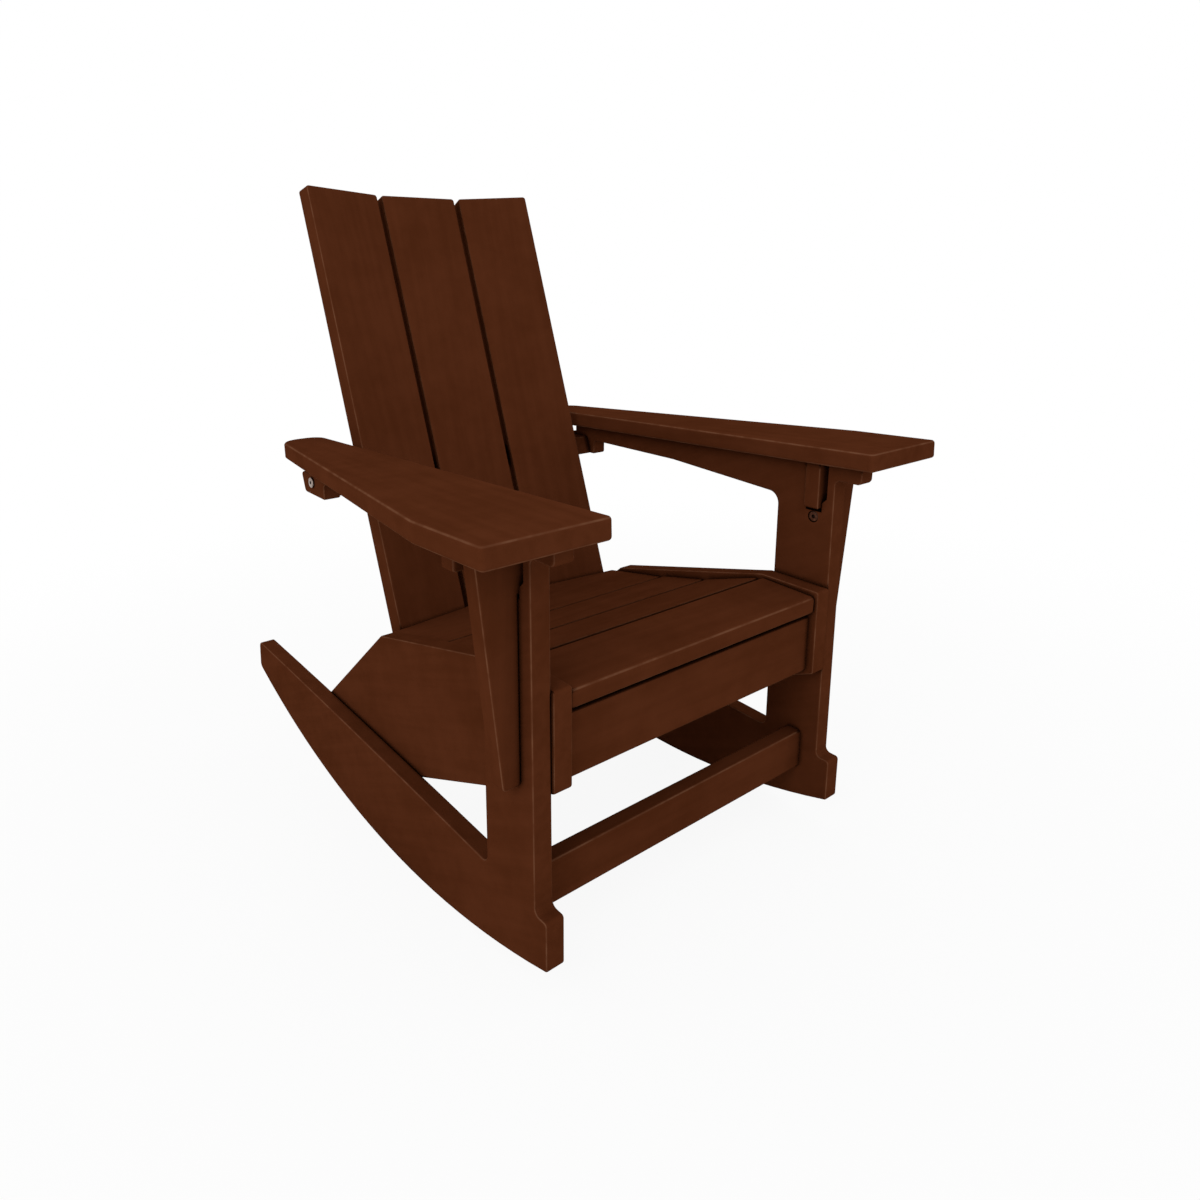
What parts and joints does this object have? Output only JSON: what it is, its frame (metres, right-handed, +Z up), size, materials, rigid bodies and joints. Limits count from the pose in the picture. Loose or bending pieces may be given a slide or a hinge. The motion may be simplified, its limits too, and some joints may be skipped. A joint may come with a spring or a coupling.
{
  "type": "rocking chair",
  "caption": "Outdoor rocking chair of plastic boards: slatted seat, high reclined slat back, broad tapered arms and curved rockers.",
  "frame": {"origin": "on the floor, under the middle of the whole chair's box; the empty chair's rockers touch the floor 75 mm ahead of it", "axes": "+Z up, +X to the side, the sitter faces -Y"},
  "size_m": [0.7782, 0.9932, 1.0002],
  "materials": {
    "lumber": "satin dark brown plastic lumber",
    "stainless": "satin stainless steel",
    "coated_steel": "brown coating"
  },
  "bodies": {
    "root": {"apron_screws": "stainless", "arm_screws": "stainless", "back_slat_screws": "stainless", "block_dowels": "stainless", "bracket_barrel_nuts": "stainless", "bracket_bolts": "coated_steel", "front_apron": "lumber", "front_seat_slat": "lumber", "front_stretcher": "lumber", "ledger_screws": "stainless", "left_arm": "lumber", "left_arm_block": "lumber", "left_arm_bracket": "lumber", "left_back_slat": "lumber", "left_seat_ledger": "lumber", "left_seat_stringer": "lumber", "left_side_panel": "lumber", "lower_back_rail": "lumber", "lower_rail_dowels": "stainless", "lug_barrel_nuts": "stainless", "lug_bolts": "stainless", "middle_back_slat": "lumber", "rear_seat_slat": "lumber", "right_arm": "lumber", "right_arm_block": "lumber", "right_arm_bracket": "lumber", "right_back_slat": "lumber", "right_seat_ledger": "lumber", "right_seat_stringer": "lumber", "right_side_panel": "lumber", "seat_slat_screws": "stainless", "second_seat_slat": "lumber", "stretcher_dowels": "stainless", "stringer_bolts": "stainless", "third_seat_slat": "lumber", "upper_back_rail": "lumber"}
  },
  "joints": []
}
